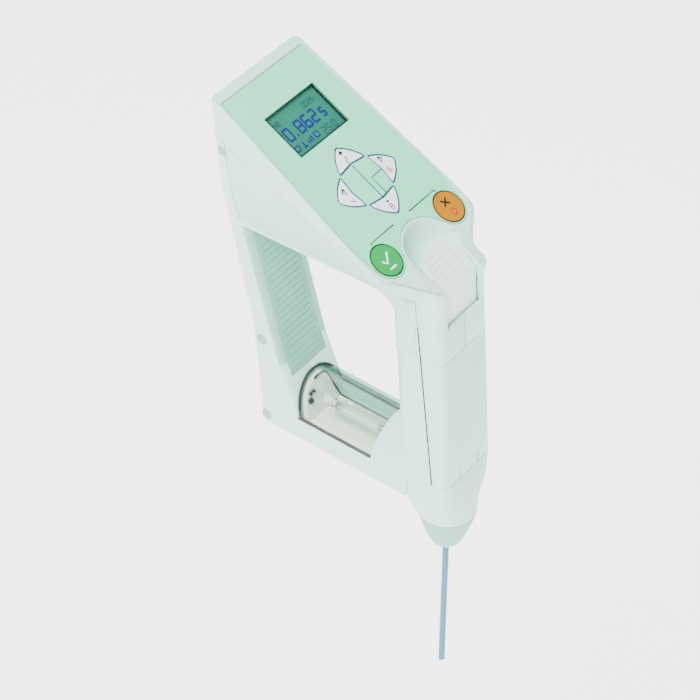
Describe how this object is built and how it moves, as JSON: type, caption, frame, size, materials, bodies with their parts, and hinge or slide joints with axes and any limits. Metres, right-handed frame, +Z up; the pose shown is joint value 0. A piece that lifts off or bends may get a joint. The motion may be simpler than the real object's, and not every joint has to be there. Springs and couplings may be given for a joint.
{
  "type": "portable density meter",
  "caption": "Hand-held density meter: loop grip with sampling tube, sprung thumb pump lever, windowed glass measuring cell, and a tilted head with display and push keys.",
  "frame": {"origin": "centre of the sampling tube at its tip", "axes": "+Z up along the sampling tube, +Y from the grip to the column, away from the user, +X to the user's right"},
  "size_m": [0.071, 0.1211, 0.2905],
  "materials": {
    "casing": "satin",
    "lever": "satin",
    "tube": "translucent fluoropolymer",
    "plug": "satin",
    "screw": "bright",
    "label": "printed film",
    "holder": "matt",
    "battery": "printed sleeve",
    "contact": "bright",
    "overlay": "printed film",
    "display_glass": "clear",
    "display_frame": "matt",
    "display": "liquid crystal",
    "arrow_key": "satin",
    "ok_key": "satin",
    "escape_key": "satin",
    "board": "solder mask",
    "rod": "ground",
    "pump": "moulded",
    "seal": "moulded",
    "window": "clear acrylic",
    "cell_glass": "clear",
    "tray": "moulded",
    "magnet": "plated",
    "coil": "potted winding",
    "hose": "flexible"
  },
  "bodies": {
    "casing": {"left_shell": "casing", "right_shell": "casing", "head_cover": "casing", "collar_left": "casing", "collar_right": "casing", "grip_cover": "casing", "nozzle_cap": "casing", "sampling_tube": "tube", "screw_plugs": "plug", "case_screws": "screw", "board_screws": "screw", "label_plate": "label", "battery_holder": "holder", "batteries": "battery", "battery_contacts": "contact", "key_domes": "contact", "panel_overlay": "overlay", "lcd_window": "display_glass", "lcd_frame": "display_frame", "lcd_module": "display", "main_board": "board", "pump_spring": "rod", "temperature_sensor": "rod", "pump_barrel": "pump", "pump_base": "pump", "window_gasket": "seal", "cell_window": "window", "u_tube": "cell_glass", "cell_tray": "tray", "cell_block": "tray", "cell_magnet": "magnet", "drive_coil": "coil", "inlet_hose": "hose", "outlet_hose": "hose"},
    "thumb_lever": {"lever": "lever", "piston_rod": "rod", "piston": "pump", "piston_seal": "seal"},
    "key_up_body": {"key_up": "arrow_key"},
    "key_down_body": {"key_down": "arrow_key"},
    "key_left_body": {"key_left": "arrow_key"},
    "key_right_body": {"key_right": "arrow_key"},
    "ok_key_body": {"ok_key": "ok_key"},
    "escape_key_body": {"escape_key": "escape_key"},
    "door": {"battery_door": "casing"}
  },
  "joints": [
    {"name": "lever_slide", "type": "slide", "parent": "casing", "child": "thumb_lever", "axis": [0, -0.0663, -0.9978], "range_m": [0, 0.012], "stiffness_N_per_m": 300, "springref_m": -0.01, "deforming": ["pump_spring"]},
    {"name": "key_up_press", "type": "slide", "parent": "casing", "child": "key_up_body", "axis": [0, 0.515, -0.8572], "range_m": [0, 0.0005], "stiffness_N_per_m": 800, "springref_m": -0.0008},
    {"name": "key_down_press", "type": "slide", "parent": "casing", "child": "key_down_body", "axis": [0, 0.515, -0.8572], "range_m": [0, 0.0005], "stiffness_N_per_m": 800, "springref_m": -0.0008},
    {"name": "key_left_press", "type": "slide", "parent": "casing", "child": "key_left_body", "axis": [0, 0.515, -0.8572], "range_m": [0, 0.0005], "stiffness_N_per_m": 800, "springref_m": -0.0008},
    {"name": "key_right_press", "type": "slide", "parent": "casing", "child": "key_right_body", "axis": [0, 0.515, -0.8572], "range_m": [0, 0.0005], "stiffness_N_per_m": 800, "springref_m": -0.0008},
    {"name": "ok_key_press", "type": "slide", "parent": "casing", "child": "ok_key_body", "axis": [0, 0.515, -0.8572], "range_m": [0, 0.0005], "stiffness_N_per_m": 800, "springref_m": -0.0008},
    {"name": "escape_key_press", "type": "slide", "parent": "casing", "child": "escape_key_body", "axis": [0, 0.515, -0.8572], "range_m": [0, 0.0005], "stiffness_N_per_m": 800, "springref_m": -0.0008},
    {"name": "door_slide", "type": "slide", "parent": "casing", "child": "door", "axis": [0, 1, 0], "range_m": [0, 0.018]}
  ]
}
